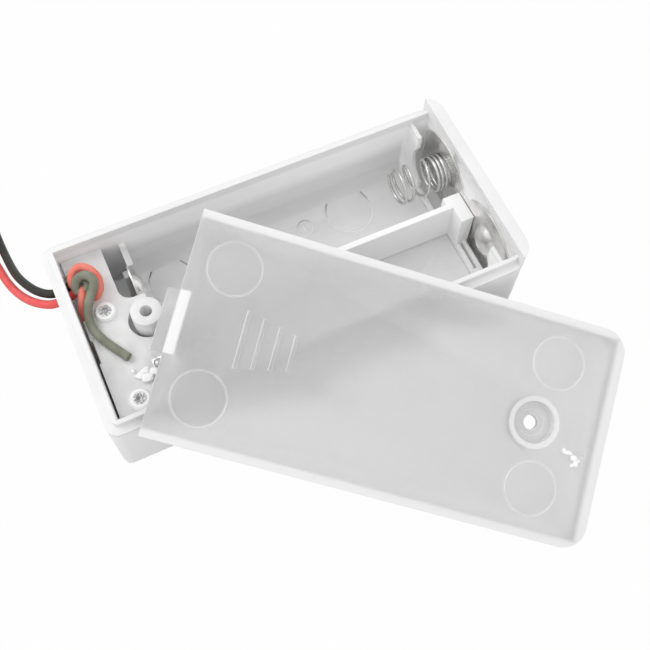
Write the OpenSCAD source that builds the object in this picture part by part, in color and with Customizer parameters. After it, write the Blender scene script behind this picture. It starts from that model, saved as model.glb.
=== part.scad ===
// Holder for two AA cells with a loose screw-down cover, a slide switch and two leads.
// Origin: centre of the box on the surface it stands on. +X runs to the end with the
// cover's hook slot, +Y to the side whose cell pushes against the joining spring.

/* [Cells] */
// Diameter of one cell
cell_d = 14.5; // [13.9:0.1:14.8]
// Length of one cell with its nub
cell_l = 50.5; // [49:0.5:53]
// Gap left all round a cell
cell_gap = 0.05; // [0.05:0.05:0.3]
// Length kept for the spring and the contacts
spring_room = 4.6; // [4.2:0.1:6]

/* [Box] */
// Thickness of the long side walls
side_wall = 1.9; // [1.8:0.1:2.6]
// Thickness of both end walls
end_wall = 2; // [1.8:0.1:3]
// Thickness of the floor
floor_t = 1.2; // [1.2:0.1:2]
// Room over a cell under the closed cover
head_room = 0.2; // [0.1:0.1:0.6]
// Rise of the lip above that ledge
lip_h = 1.2; // [0.8:0.1:1.5]
// Thickness of the rib between the cells
rib_t = 1; // [0.8:0.1:1.6]
// Height of that rib above the floor
rib_h = 8.8; // [6:0.1:9.4]
// Length of the switch compartment
switch_l = 9.9; // [9.8:0.1:12]
// Thickness of the wall between switch and cells
partition_t = 1; // [0.8:0.1:1.4]
// Corner radius in plan at the switch end
corner_r = 2; // [1.5:0.1:3]
// Corner radius in plan at the hook end
hook_corner_r = 3.3; // [2:0.1:3.6]
// Fillet along the bottom edges
base_r = 1.8; // [1:0.1:1.8]
// Radius of the hollow where floor meets side wall
cradle_r = 4.3; // [3:0.1:5]
// Width of the hook slot
hook_slot_w = 11.7; // [10:0.1:13]
// Depth of moulded marks on the floor
mark_depth = 0.12; // [0.1:0.02:0.2]

/* [Cover] */
// Thickness of the cover's plate
cover_t = 1.4; // [1.2:0.1:1.8]
// Depth of the skirt under the plate
skirt_h = 1.6; // [1.6:0.1:2]
// Thickness of the skirt
skirt_t = 1.1; // [0.8:0.1:1.1]
// Clearance between the cover and the box
cover_gap = 0.1; // [0.05:0.05:0.2]
// Corner radius at the screw end
cover_r = 3.7; // [3:0.1:5]
// Distance from the cover's screw end to the screw
screw_from_end = 11.7; // [11.5:0.1:11.9]
// Radius of the screw well
well_r = 3.2; // [2.6:0.1:3.4]
// Wall round the screw well
well_wall = 0.8; // [0.6:0.1:1]
// Thickness left under the screw head
well_floor = 1; // [0.8:0.1:1.2]
// Radius of the screw hole in the cover
screw_hole_r = 1.1; // [1.05:0.05:1.4]
// Width of the hook
hook_w = 9.4; // [8:0.1:9.8]
// Reach of the hook past the cover's edge
hook_reach = 1.9; // [1.2:0.1:2]
// Thickness of the hook
hook_t = 1.3; // [1:0.1:1.4]
// Pitch of the grip bars
grip_pitch = 2.53; // [2:0.01:3]
// Width of one grip bar
grip_w = 0.55; // [0.4:0.05:0.8]

/* [Cover at rest] */
// Turn of the loose cover in its own plane
cover_turn = 38; // [37:0.5:39]
// Length of cover from its hook edge back to the lip it leans on
cover_slip = 10.8; // [10:0.1:11.5]
// Distance from the box's switch end to the cover's hook edge
cover_in = 14.5; // [13.5:0.1:15.5]

/* [Screw boss] */
// Outer radius of the screw boss
boss_r = 2.4; // [2:0.1:2.6]
// Radius of its pilot hole
pilot_r = 0.95; // [0.8:0.05:1]
// Depth of its pilot hole
pilot_depth = 9; // [6:0.5:11]

/* [Switch plate] */
// Drop from the ledge to the top of the switch plate
deck_drop = 2.1; // [1.9:0.1:2.4]
// Thickness of the switch plate
deck_t = 1.2; // [1:0.1:1.4]
// Gap between the switch plate and the box
deck_gap = 0.1; // [0.1:0.05:0.3]
// Distance between the two stake pins
stake_pitch = 15.8; // [15.6:0.1:16.2]
// Radius of a stake pin
stake_r = 1; // [0.8:0.05:1.1]
// Radius of a melted stake head
head_r = 1.8; // [1.5:0.1:1.9]
// Height of a melted stake head
head_h = 0.6; // [0.4:0.1:0.8]

/* [Switch] */
// Distance from the end wall to the switch
switch_in = 4.1; // [4:0.05:4.3]
// Place of the switch across the box
switch_y = -4.2; // [-4.4:0.1:-4]
// Length of the switch body
body_long = 8.6; // [8.4:0.1:9]
// Width of the switch body
body_wide = 4.4; // [4.2:0.1:4.8]
// Height of the switch body without its board
body_high = 3.4; // [3.3:0.1:4]
// Half of the knob's travel
half_travel = 1.5; // [1:0.1:1.6]
// Running clearance of the knob
knob_gap = 0.1; // [0.05:0.05:0.15]

/* [Metal parts] */
// Thickness of the contact plates
plate_t = 0.3; // [0.2:0.05:0.35]
// Mean radius of the contact springs
spring_r = 3; // [2.6:0.1:3.4]
// Wire diameter of the contact springs
spring_wire = 0.55; // [0.45:0.05:0.6]
// Free length of the contact springs
spring_l = 9; // [8.4:0.1:9.4]
// Height of the pressed contact domes
dome_h = 1.5; // [1:0.1:1.7]

/* [Leads] */
// Outer diameter of each lead
lead_d = 1.4; // [1.2:0.1:1.4]
// Radius of the hole that the leads leave by
lead_hole_r = 1.75; // [1.6:0.05:1.8]
// Mean radius of each coil
coil_r = 7; // [6.8:0.1:7]
// Radius of the bundle of turns in a coil
bundle_r = 1.55; // [1.55:0.05:1.6]
// Length of the tinned ends
tinned_l = 5; // [3:0.5:6]

/* [Hidden] */
$fn = 48;

// Plan of the box
bay_w = cell_d + 2 * cell_gap;
bay_l = cell_l + spring_room;
bay_y = rib_t / 2 + bay_w / 2;
inner_w = 2 * bay_w + rib_t;
body_w = inner_w + 2 * side_wall;
body_l = 2 * end_wall + switch_l + partition_t + bay_l;
left_x = -body_l / 2;
switch_x = left_x + end_wall;
partition_x = switch_x + switch_l;
bay_x = partition_x + partition_t;
wall_x = bay_x + bay_l;
right_x = body_l / 2;

// Heights
ledge_z = floor_t + 2 * cell_gap + cell_d + head_room - skirt_h;
cell_z = floor_t + cell_gap + cell_d / 2;
rib_z = floor_t + rib_h;
deck_top = ledge_z - deck_drop;
deck_low = deck_top - deck_t;
lip_z = ledge_z + lip_h;
skirt_depth = cover_t + skirt_h;
hook_wall_z = ledge_z + skirt_depth;
ledge_w = skirt_t + cover_gap;
slop = 0.01;

// Cover, in its own frame: x from the hook edge, z down from the outer face
cover_l = body_l - end_wall - 2 * cover_gap;
cover_w = body_w;
cover_x = left_x + cover_in;
screw_from_hook = cover_l - screw_from_end;
boss_x = wall_x - cover_gap - screw_from_hook;
boss_z = ledge_z + skirt_h - well_floor - cover_gap;
lip_y = body_w / 2 - ledge_w;
rest_gap = 0.03;
low_corner = (cover_l - cover_r) * sin(cover_turn) + (cover_w / 2 - cover_r) * cos(cover_turn) + cover_r;
cover_tilt = asin(lip_z / (low_corner - cover_slip));

// Switch
stake_x = switch_x + switch_in;
can_t = 0.3;
board_t = 0.6;
can_z = floor_t;
board_z = can_z + body_high;
slider_z = can_z + can_t + knob_gap;
slider_h = 1.4;
stem_x = 1.1;
stem_y = 1;
slider_y = body_long / 2 - can_t - half_travel - knob_gap - 0.2;
slider_x = body_wide / 2 - can_t - knob_gap;
knob_y = switch_y - half_travel;
terminal_pitch = body_long / 2 - 1.8;
terminal_h = 4;
lug_t = 0.4;
lug_w = 1.1;
head_t = 0.3;

// Metal parts
plate_x = wall_x - plate_t;
positive_half = 3.2;
positive_x = partition_x - plate_t;
negative_half = 4.6;
negative_x = bay_x;
tag_z = deck_top;

// Leads: points chosen along their way, from the outer mouth of the lead hole at its drawn height
lead_y = inner_w / 2 - 5.6;
lead_z = deck_top - 0.7;
drawn_lead_z = 11.6;
function led(points) = [for (p = points) [left_x + p[0], lead_y + p[1], p[2] * lead_z / drawn_lead_z]];
red_coil_at = [left_x - 17.2, lead_y + 20];
black_coil_at = [left_x - 14, lead_y + 37.3];
black_route = led([
    [3.4, 0.9, 13.6], [2.3, 0.85, 12], [1, 0.85, 11.6], [-0.6, 1.1, 11.4], [-2, 2.3, 10.9], [-3.2, 4.1, 9.9],
    [-4.4, 6.9, 8.4], [-5.3, 9.9, 6.6], [-5.8, 13.1, 4.8], [-6.2, 16.3, 3.2], [-6.5, 19.5, 2],
    [-6.8, 23, 1.3], [-7, 27, 1], [-7, 31.5, 1], [-7, 34.5, 1.2], [-7, 37.3, 1.5],
]);
red_route = led([
    [3.4, -0.8, 13.5], [2.3, -0.85, 12], [1, -0.85, 11.6], [-0.8, -0.6, 11.3], [-1.6, -0.2, 11.05],
    [-2.4, 0.4, 10.7], [-3.9, 2.1, 9.6], [-5.2, 4.4, 8.2], [-6.3, 7.1, 6.6], [-7.1, 10.1, 4.8],
    [-7.45, 11.7, 3.9], [-7.8, 13.3, 3.1], [-8.6, 16.5, 1.9], [-9.6, 19.5, 1.4], [-10.4, 21.8, 1.5],
]);

// Wires inside: points from the lead hole over the switch plate, and from the lugs and tags they end on
function near(place, points) = [for (p = points) place + p];
over_plate = [left_x, lead_y, deck_top];
lug_hole_z = board_z + terminal_h - 0.8;
common_lug = [stake_x, switch_y, lug_hole_z];
live_lug = common_lug + [0, terminal_pitch, 0];
positive_tag = [positive_x - 1.1, bay_y - positive_half, cell_z + 1.3];
knot_lumps = near(over_plate, [[4.5, 1.5, 2.1], [6.1, -0.8, 2], [3.7, -2.3, 1.6]]);
black_tail_route = near(over_plate, [
    [4.6, -2.7, 1.8], [4, -4.3, 1.1], [3.8, -5.9, 0.8], [3.7, -7.9, 0.72], [4, -10.1, 0.72],
    [5.1, -12.9, 0.72], [7, -15, 0.72],
]);
red_tail_route = concat(
    near(over_plate, [
        [3.3, -2.5, 1.2], [2.8, -3.3, 0.1], [2.8, -4.1, -1.2], [2.9, -5.5, -2.5], [3.2, -7.5, -3.4],
    ]),
    near(live_lug, [[-2.2, 1.9, 0.6], [-1.5, 0.6, 0.3], [-1, -0.2, 0.1]])
);
jumper_route = concat(
    near(common_lug, [[0.7, -0.2, 0.1], [1.5, 0.4, 0.2], [2.1, 1.8, 0.6]]),
    near(positive_tag, [[-2.2, -4.4, -1], [-1.6, -2.2, -0.6], [-0.9, -1, -0.2], [-0.3, -0.5, 0]])
);
jumper_d = 1;

// ---- Helpers ----

function unit(v) = v / norm(v);
// Direction of a route at point i
function heading(path, i) =
    let (last = len(path) - 1)
    unit(path[min(i + 1, last)] - path[max(i - 1, 0)]);
// Two directions square to a heading
function side_way(h) = unit(cross(h, abs(h[2]) > 0.9 ? [1, 0, 0] : [0, 0, 1]));
// One ring of points round a route
function ring(path, i, r, sides) =
    let (h = heading(path, i), a = side_way(h), b = cross(h, a))
    [for (k = [0 : sides - 1]) path[i] + r * (cos(360 * k / sides) * a + sin(360 * k / sides) * b)];

// A smooth route through chosen points, with extra points between them
function blend_point(p, i, t) =
    let (last = len(p) - 1, a = p[max(i - 1, 0)], b = p[i], c = p[i + 1], d = p[min(i + 2, last)])
    0.5 * (2 * b + (c - a) * t + (2 * a - 5 * b + 4 * c - d) * t * t + (3 * b - a - 3 * c + d) * t * t * t);
function smooth(p, steps) = concat(
    [for (i = [0 : len(p) - 2]) for (s = [0 : steps - 1]) blend_point(p, i, s / steps)],
    [p[len(p) - 1]]
);

// A round tube swept along a route
module tube(path, r, sides = 8) {
    rings = len(path);
    points = [for (i = [0 : rings - 1]) each ring(path, i, r, sides)];
    walls = [
        for (i = [0 : rings - 2]) for (k = [0 : sides - 1])
            let (n = (k + 1) % sides, a = i * sides, b = a + sides)
            each [[a + k, b + k, b + n], [a + k, b + n, a + n]]
    ];
    first = [[for (k = [0 : sides - 1]) k]];
    final = [[for (k = [sides - 1 : -1 : 0]) (rings - 1) * sides + k]];
    polyhedron(points, concat(walls, first, final));
}

// A block given by its low and high corners
module block(low, high) {
    translate(low) cube(high - low);
}

// A rectangle in plan with its own corner radius at each end
module plan(x0, x1, w, r0, r1) {
    translate([x0 + r0, -w / 2]) square([x1 - x0 - r0 - r1, w]);
    translate([x0, -w / 2 + r0]) square([x1 - x0 - r1, w - 2 * r0]);
    translate([x1 - 2 * r1, -w / 2 + r1]) square([2 * r1, w - 2 * r1]);
    for (s = [-1, 1]) {
        if (r0 > 0) translate([x0 + r0, s * (w / 2 - r0)]) circle(r0);
        translate([x1 - r1, s * (w / 2 - r1)]) circle(r1);
    }
}

// A tall section whose two bottom corners are rounded
module footed(w, h, r) {
    translate([-w / 2, r]) square([w, h - r]);
    translate([-w / 2 + r, 0]) square([w - 2 * r, h]);
    for (s = [-1, 1]) translate([s * (w / 2 - r), r]) circle(r);
}

// Extrude a section drawn across the box (y, z) from x0 to x1
module along_x(x0, x1) {
    translate([x0, 0, 0]) rotate([90, 0, 90]) linear_extrude(x1 - x0) children();
}

// Extrude a section drawn along the box (x, z) across it
module along_y(y0, y1) {
    translate([0, y1, 0]) rotate([90, 0, 0]) linear_extrude(y1 - y0) children();
}

// ---- Box ----

module box_outside(top) {
    intersection() {
        linear_extrude(top) plan(left_x, right_x, body_w, corner_r, hook_corner_r);
        along_x(left_x, right_x) footed(body_w, top, base_r);
        along_y(-body_w / 2, body_w / 2) footed(body_l, top, base_r);
    }
}

// The hollow for one cell: square at the rib, hollowed where the floor meets the wall
module bay_section() {
    top = hook_wall_z;
    translate([-bay_w / 2, floor_t]) square([bay_w - cradle_r, top]);
    translate([-bay_w / 2, floor_t + cradle_r]) square([bay_w, top]);
    translate([bay_w / 2 - cradle_r, floor_t + cradle_r]) circle(cradle_r);
}

// The hook slot in the tall end wall
hook_slot_low = hook_wall_z - skirt_depth - 0.2;
hook_slot_high = hook_slot_low + hook_t + 0.6;

module box_hollows() {
    along_x(bay_x, wall_x) translate([bay_y, 0]) bay_section();
    along_x(bay_x, wall_x) translate([-bay_y, 0]) mirror([1, 0]) bay_section();
    block([bay_x, -rib_t, rib_z], [wall_x, rib_t, hook_wall_z + 1]);
    block([switch_x, -inner_w / 2, floor_t], [partition_x, inner_w / 2, hook_wall_z + 1]);
    block([partition_x - slop, -inner_w / 2, deck_low], [bay_x + slop, inner_w / 2, hook_wall_z + 1]);
    block([wall_x - 1, -hook_slot_w / 2, hook_slot_low], [right_x + 1, hook_slot_w / 2, hook_slot_high]);
    translate([left_x - 1, lead_y, lead_z]) rotate([0, 90, 0]) cylinder(r = lead_hole_r, h = end_wall + 2);
    // window for the domed contact, open at the top
    translate([partition_x - 1, bay_y, cell_z]) rotate([0, 90, 0])
        cylinder(r = positive_half - 0.3, h = partition_t + 2);
    block(
        [partition_x - 1, bay_y - positive_half + 0.3, cell_z],
        [bay_x + 1, bay_y + positive_half - 0.3, hook_wall_z]
    );
    // slot under the switch knob
    block(
        [stake_x - stem_x - knob_gap, switch_y - stem_y - half_travel - knob_gap, -1],
        [stake_x + stem_x + knob_gap, switch_y + stem_y + half_travel + knob_gap, floor_t + 1]
    );
}

// Ribs that keep the joining plate against the end wall
saddle_t = 0.7;
back_saddle_x = wall_x - 3.5;
front_saddle_x = wall_x - 2.7;
bar_x = wall_x - 1.4;
pillar_end = plate_x - 0.1;
saddle_low = 1.4;

// One saddle: tall at the side wall, low in the middle
module saddle(x, y_side) {
    wall_y = inner_w / 2;
    along_x(x, x + saddle_t) mirror([y_side > 0 ? 0 : 1, 0]) difference() {
        union() {
            translate([rib_t / 2 - slop, floor_t - slop]) square([bay_w + slop, saddle_low]);
            translate([wall_y - 3.4, floor_t - slop]) square([3.5, ledge_z - floor_t]);
            translate([wall_y - 5.4, floor_t - slop]) square([5.5, 5]);
        }
        translate([bay_y, cell_z]) circle(spring_r + 1.9);
    }
}

module box_fittings() {
    // screw boss
    translate([boss_x, 0, floor_t - slop]) cylinder(r = boss_r, h = boss_z - floor_t + slop);
    // shouldered posts under the switch plate, with their melted heads above it
    for (s = [-1, 1]) translate([stake_x, switch_y + s * stake_pitch / 2, 0]) {
        translate([0, 0, floor_t - slop]) cylinder(r = head_r + 0.3, h = deck_low - floor_t + slop);
        translate([0, 0, deck_low - slop]) cylinder(r = stake_r, h = deck_t + 2 * slop);
        translate([0, 0, deck_top]) cylinder(r1 = head_r, r2 = head_r - 0.35, h = head_h);
    }
    // shelves in the corners under the switch plate
    for (s = [-1, 1]) {
        y = s * (inner_w / 2 - 1);
        block([switch_x - slop, y - 1.1, deck_low - 1.4], [switch_x + 1.6, y + 1.1, deck_low]);
    }
    // ribs round the switch
    side = body_wide / 2 + knob_gap;
    tip = body_long / 2 + knob_gap;
    for (s = [-1, 1]) {
        x = stake_x + s * (side + 0.4);
        block([x - 0.4, switch_y - 2.6, floor_t - slop], [x + 0.4, switch_y + 2.6, floor_t + 2.2]);
        y = switch_y + s * (tip + 0.35);
        block([stake_x - 1.4, y - 0.35, floor_t - slop], [stake_x + 1.4, y + 0.35, floor_t + 2.2]);
    }
    // corner guides behind the domed contact
    for (s = [-1, 1]) {
        guide_z = cell_z - 0.6;
        y = bay_y + s * (positive_half + 0.5);
        block([partition_x - 1.1, y - 0.4, floor_t - slop], [partition_x + slop, y + 0.4, guide_z]);
        inner = bay_y + s * (positive_half - 0.1);
        block([partition_x - 1.1, inner - 0.3, floor_t - slop], [positive_x - 0.05, inner + 0.3, guide_z]);
    }
    // guides in front of the spring contact
    guide_y = bay_w / 2 - negative_half + 0.5;
    guide_x = negative_x + plate_t + 0.05;
    guide_t = 0.7;
    wall_y = -inner_w / 2;
    block([guide_x, wall_y - slop, floor_t - slop], [guide_x + guide_t, wall_y + guide_y, rib_z]);
    block([guide_x, -rib_t / 2 - guide_y, floor_t - slop], [guide_x + guide_t, -rib_t / 2 + slop, rib_z]);
    // saddles, the second bar and the pillar at the joining plate
    saddle(back_saddle_x, 1);
    saddle(front_saddle_x, -1);
    block([bar_x, wall_y - slop, floor_t - slop], [bar_x + saddle_t, -rib_t / 2, floor_t + saddle_low]);
    block([back_saddle_x, 0, floor_t - slop], [pillar_end, rib_t / 2 + 1.3, rib_z]);
    block([front_saddle_x, -rib_t / 2 - 3, floor_t - slop], [pillar_end, slop, rib_z]);
}

// Shallow round marks left by the mould, and a plain minus sign
module floor_marks() {
    top = floor_t - mark_depth;
    for (at = [[16.7, 10.9, 4.25], [-16.9, 10.3, 4.2], [8.2, 11, 1.5], [2.6, 10.2, 0.5]])
        translate([at[0], at[1], top]) difference() {
            cylinder(r = at[2], h = 1);
            translate([0, 0, -1]) cylinder(r = at[2] - 0.22, h = 3);
        }
    block([7.9, 10.3, top], [8.3, 11.7, floor_t + 1]);
    // outline of a cell, with its nub towards the joining plate
    translate([0, -bay_y, top]) linear_extrude(1) difference() {
        cell_outline(0);
        cell_outline(0.3);
    }
}

module cell_outline(inset) {
    half_l = cell_l / 2 - 6 - inset;
    half_w = cell_d / 2 - 2.6 - inset;
    translate([-half_l, -half_w]) square([2 * half_l, 2 * half_w]);
    translate([-half_l, -2 + inset]) square([2 * half_l + 2.4 + inset, 4 - 2 * inset]);
}

module battery_box() {
    color([0.93, 0.94, 0.95, 0.5]) difference() {
        union() {
            difference() {
                union() {
                    box_outside(ledge_z);
                    // lip inside the ledge
                    intersection() {
                        box_outside(lip_z);
                        linear_extrude(lip_z) plan(
                            left_x + ledge_w, right_x, body_w - 2 * ledge_w, corner_r - 1, hook_corner_r
                        );
                    }
                    // tall end wall
                    intersection() {
                        box_outside(hook_wall_z);
                        block([wall_x, -body_w, 0], [right_x, body_w, hook_wall_z]);
                    }
                }
                box_hollows();
            }
            box_fittings();
            // rib between the cells, stopping short of the plate
            block([bay_x - slop, -rib_t / 2, floor_t - slop], [pillar_end, rib_t / 2, rib_z]);
        }
        // room for the joining plate's bridge
        block([pillar_end, -rib_t, floor_t], [wall_x, rib_t, hook_wall_z - 4]);
        translate([boss_x, 0, boss_z - pilot_depth]) cylinder(r = pilot_r, h = pilot_depth + 1);
        for (s = [-1, 1]) translate([stake_x, switch_y + s * stake_pitch / 2, deck_top + head_h])
            sphere(r = 0.55, $fn = 32);
        floor_marks();
    }
}

// ---- Cover ----

module cover_body() {
    inside = cover_w - 2 * skirt_t;
    well_x = screw_from_hook;
    difference() {
        union() {
            translate([0, 0, -skirt_depth]) linear_extrude(skirt_depth)
                plan(0, cover_l, cover_w, 0, cover_r);
        }
        // hollow under the plate, open at the hook edge
        translate([0, 0, -skirt_depth - 1]) linear_extrude(skirt_h + 1)
            plan(-1, cover_l - skirt_t, inside, 0, cover_r - skirt_t);
        translate([well_x, 0, -skirt_depth]) cylinder(r = well_r, h = skirt_depth + 1);
    }
    // second step inside the end skirt
    step_half = inside / 2 - cover_r;
    block(
        [cover_l - skirt_t - 0.5, -step_half, -cover_t - 0.9],
        [cover_l - skirt_t + slop, step_half, -cover_t + slop]
    );
    // screw well
    translate([well_x, 0, -cover_t - well_floor]) difference() {
        cylinder(r = well_r + well_wall, h = well_floor + slop);
        translate([0, 0, -1]) cylinder(r = screw_hole_r, h = well_floor + 3);
        translate([0, 0, well_floor - 0.25]) cylinder(r = 2, h = 1);
    }
    // hook and the web behind it
    block([-hook_reach, -hook_w / 2, -skirt_depth], [1.5, hook_w / 2, -skirt_depth + hook_t]);
    block([0, -hook_w / 2, -skirt_depth], [1.5, hook_w / 2, -cover_t + slop]);
    // grip bars, each shorter than the last
    for (i = [0 : 3]) {
        half = 4.3 - 0.53 * i;
        x = 10.4 + grip_pitch * i;
        block([x - grip_w / 2, -half, -slop], [x + grip_w / 2, half, 0.2]);
    }
}

module cover_marks() {
    for (x = [6.6, 57.7]) for (s = [-1, 1]) translate([x, s * 9.7, -mark_depth]) difference() {
        cylinder(r = 4.15, h = 1);
        translate([0, 0, -1]) cylinder(r = 3.95, h = 3);
    }
}

module box_cover() {
    color([0.92, 0.93, 0.94, 0.6])
        translate([cover_x, -lip_y, lip_z + rest_gap]) rotate([cover_tilt, 0, 0])
        translate([0, cover_slip, skirt_depth]) rotate([0, 0, -cover_turn])
        difference() {
            cover_body();
            cover_marks();
            translate([62.9, -3.9, -0.15]) rotate([0, 0, 20]) cube([2.4, 1.2, 1]);
        }
}

// ---- Switch plate ----

module switch_cover_plate() {
    x0 = switch_x + 4 * deck_gap;
    x1 = bay_x - 2 * deck_gap;
    half = inner_w / 2 - deck_gap;
    leg_y = body_long / 2 - 0.6;
    color([0.95, 0.95, 0.96, 0.8]) {
        difference() {
            block([x0, -half, deck_low], [x1, half, deck_top]);
            for (s = [-1, 1]) translate([stake_x, switch_y + s * stake_pitch / 2, deck_low - 1])
                cylinder(r = stake_r + deck_gap, h = deck_t + 2);
            // pocket round the screw boss
            translate([boss_x, 0, deck_low - 1]) cylinder(r = boss_r + 0.8, h = deck_t + 2);
            // pocket over the domed contact
            translate([0, 0, deck_low - 1]) linear_extrude(deck_t + 2) {
                pocket_x = partition_x - 2.9;
                pocket_y = bay_y - positive_half - 0.1;
                translate([pocket_x + 2, pocket_y]) square([6, inner_w / 2]);
                translate([pocket_x, pocket_y + 2]) square([6, inner_w / 2]);
                translate([pocket_x + 2, pocket_y + 2]) circle(2);
            }
            // notch for the leads, the narrow slot beside it and the open front corner
            block([x0 - 1, lead_y - 5.9, deck_low - 1], [switch_x + 2.2, lead_y + 2.9, deck_top + 1]);
            block([x0 - 1, -4.2, deck_low - 1], [x0 + 0.3, 0, deck_top + 1]);
            block([x0 - 1, -half - 1, deck_low - 1], [x0 + 1.9, -half + 0.5, deck_top + 1]);
        }
        // legs that press on the switch
        for (s = [-1, 1]) {
            y = switch_y + s * leg_y;
            block([stake_x - 0.6, y - 0.5, board_z + board_t], [stake_x + 0.6, y + 0.5, deck_low + slop]);
        }
    }
}

// ---- Contacts ----

// A pressed dome, its axis along +X and its foot on x = 0
module dome(r, h) {
    big = (r * r + h * h) / (2 * h);
    rotate([0, 90, 0]) rotate_extrude($fn = 48) intersection() {
        translate([0, h - big]) circle(big, $fn = 96);
        square([r, h]);
    }
}

// One lobe of the joining plate, in section
lobe_half = 6.4;
module lobe() {
    intersection() {
        translate([0, -1.6]) circle(8.3);
        translate([-lobe_half, 0]) square([2 * lobe_half, cell_d]);
    }
    intersection() {
        circle(cell_d / 2 - 0.2);
        translate([-lobe_half, -cell_d]) square([2 * lobe_half, cell_d + slop]);
    }
}

module joining_plate() {
    color([0.8, 0.8, 0.78]) {
        difference() {
            along_x(plate_x, wall_x) {
                for (s = [-1, 1]) translate([s * bay_y, cell_z]) lobe();
                translate([-bay_y, cell_z - 2.4]) square([2 * bay_y, 4.8]);
            }
            // the hollow behind the dome
            translate([wall_x + slop, -bay_y, cell_z]) mirror([1, 0, 0]) dome(2.2, 0.25);
        }
        translate([plate_x + slop, -bay_y, cell_z]) mirror([1, 0, 0]) difference() {
            dome(3.1, dome_h);
            translate([dome_h - 0.15, 0, 0]) rotate([0, 90, 0]) cylinder(r = 0.5, h = 1);
        }
    }
}

// Spring along +X from x = 0: tight turns, a long turn, a shorter one and a tight turn at the tip
tight_pitch = 0.72;
tight_turns = 3;
spring_turns = tight_turns + 3;
short_share = 0.37;
function clip(v) = min(max(v, 0), 1);
function spring_point(turn) =
    let (
        loose = spring_l - spring_wire - tight_pitch * (tight_turns + 1),
        x = tight_pitch * (min(turn, tight_turns) + max(turn - tight_turns - 2, 0))
            + loose * (1 - short_share) * clip(turn - tight_turns)
            + loose * short_share * clip(turn - tight_turns - 1)
    )
    [x, spring_r * cos(360 * turn), spring_r * sin(360 * turn)];
module contact_spring() {
    steps = 18;
    path = [for (i = [0 : spring_turns * steps]) spring_point(i / steps)];
    translate([spring_wire / 2 + 0.05, 0, 0]) tube(path, spring_wire / 2, 6);
}

module joining_spring() {
    color([0.82, 0.82, 0.8])
        translate([plate_x, bay_y, cell_z]) mirror([1, 0, 0]) contact_spring();
}

module positive_plate() {
    color([0.8, 0.8, 0.78]) {
        along_x(positive_x, partition_x) {
            translate([bay_y - positive_half, floor_t]) square([2 * positive_half, cell_z + 1.6 - floor_t]);
            translate([bay_y, cell_z + 1.6]) circle(positive_half);
        }
        translate([partition_x - slop, bay_y, cell_z]) dome(2.6, dome_h + 0.3);
        // solder tag folded back towards the switch
        edge = bay_y - positive_half;
        block([positive_x - 1.9, edge, cell_z + 0.3], [positive_x + slop, edge + plate_t, cell_z + 2.3]);
    }
}

module negative_plate() {
    top = tag_z + plate_t;
    low = floor_t + 0.4;
    color([0.8, 0.8, 0.78]) {
        along_x(negative_x, negative_x + plate_t)
            translate([-bay_y - negative_half, low]) square([2 * negative_half, top - low]);
        // solder tag folded over the switch plate
        block([partition_x - 2.2, -bay_y - 1, tag_z], [negative_x + plate_t, -bay_y + 1, top]);
    }
}

module negative_spring() {
    color([0.82, 0.82, 0.8])
        translate([negative_x + plate_t, -bay_y, cell_z]) contact_spring();
}

// ---- Switch ----

module switch_frame() {
    color([0.72, 0.73, 0.74]) translate([stake_x, switch_y, can_z]) difference() {
        block([-body_wide / 2, -body_long / 2, 0], [body_wide / 2, body_long / 2, body_high]);
        block(
            [-body_wide / 2 + can_t, -body_long / 2 + can_t, can_t],
            [body_wide / 2 - can_t, body_long / 2 - can_t, body_high + 1]
        );
        window = stem_y + half_travel + knob_gap;
        block([-stem_x - knob_gap, -window, -1], [stem_x + knob_gap, window, 1]);
    }
}

module switch_board() {
    color([0.45, 0.3, 0.18]) translate([stake_x, switch_y, board_z]) difference() {
        block([-body_wide / 2, -body_long / 2, 0], [body_wide / 2, body_long / 2, board_t]);
        for (i = [-1 : 1]) translate([0, i * terminal_pitch, 0])
            block([-lug_t / 2 - 0.02, -lug_w / 2 - 0.02, -1], [lug_t / 2 + 0.02, lug_w / 2 + 0.02, 1]);
    }
}

module switch_knob() {
    color([0.1, 0.1, 0.1]) translate([stake_x, knob_y, 0]) difference() {
        union() {
            block([-slider_x, -slider_y, slider_z], [slider_x, slider_y, slider_z + slider_h]);
            block([-stem_x, -stem_y, 0.2], [stem_x, stem_y, slider_z + slop]);
        }
        // finger grooves
        for (i = [-1 : 1]) block([-2, i * 0.6 - 0.12, 0], [2, i * 0.6 + 0.12, 0.4]);
    }
}

module switch_wiper() {
    low = slider_z + slider_h;
    high = board_z - head_t - 0.1;
    reach = slider_y - 0.1;
    t = 0.18;
    ridge = [[-1, 0], [-0.6, 1], [-0.2, 0], [0.2, 0], [0.6, 1], [1, 0]];
    upper = [for (p = ridge) [p[0] * reach, p[1] > 0 ? high : low + t]];
    lower = [for (i = [5 : -1 : 0]) [ridge[i][0] * reach, ridge[i][1] > 0 ? high - t : low]];
    color([0.78, 0.62, 0.3]) along_x(stake_x - 1.2, stake_x + 1.2)
        translate([knob_y, 0]) polygon(concat(upper, lower));
}

// A terminal: a flat head under the board and a lug above it
module terminal(place) {
    color([0.8, 0.78, 0.7]) translate([stake_x, switch_y + place * terminal_pitch, board_z]) difference() {
        union() {
            block([-0.9, -lug_w / 2, -head_t], [0.9, lug_w / 2, 0]);
            block([-lug_t / 2, -lug_w / 2, -slop], [lug_t / 2, lug_w / 2, terminal_h]);
        }
        translate([-1, 0, terminal_h - 0.8]) rotate([0, 90, 0]) cylinder(r = 0.3, h = 2);
    }
}

module live_terminal() {
    terminal(1);
}

module common_terminal() {
    terminal(0);
}

module spare_terminal() {
    terminal(-1);
}

// ---- Wires ----

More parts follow.
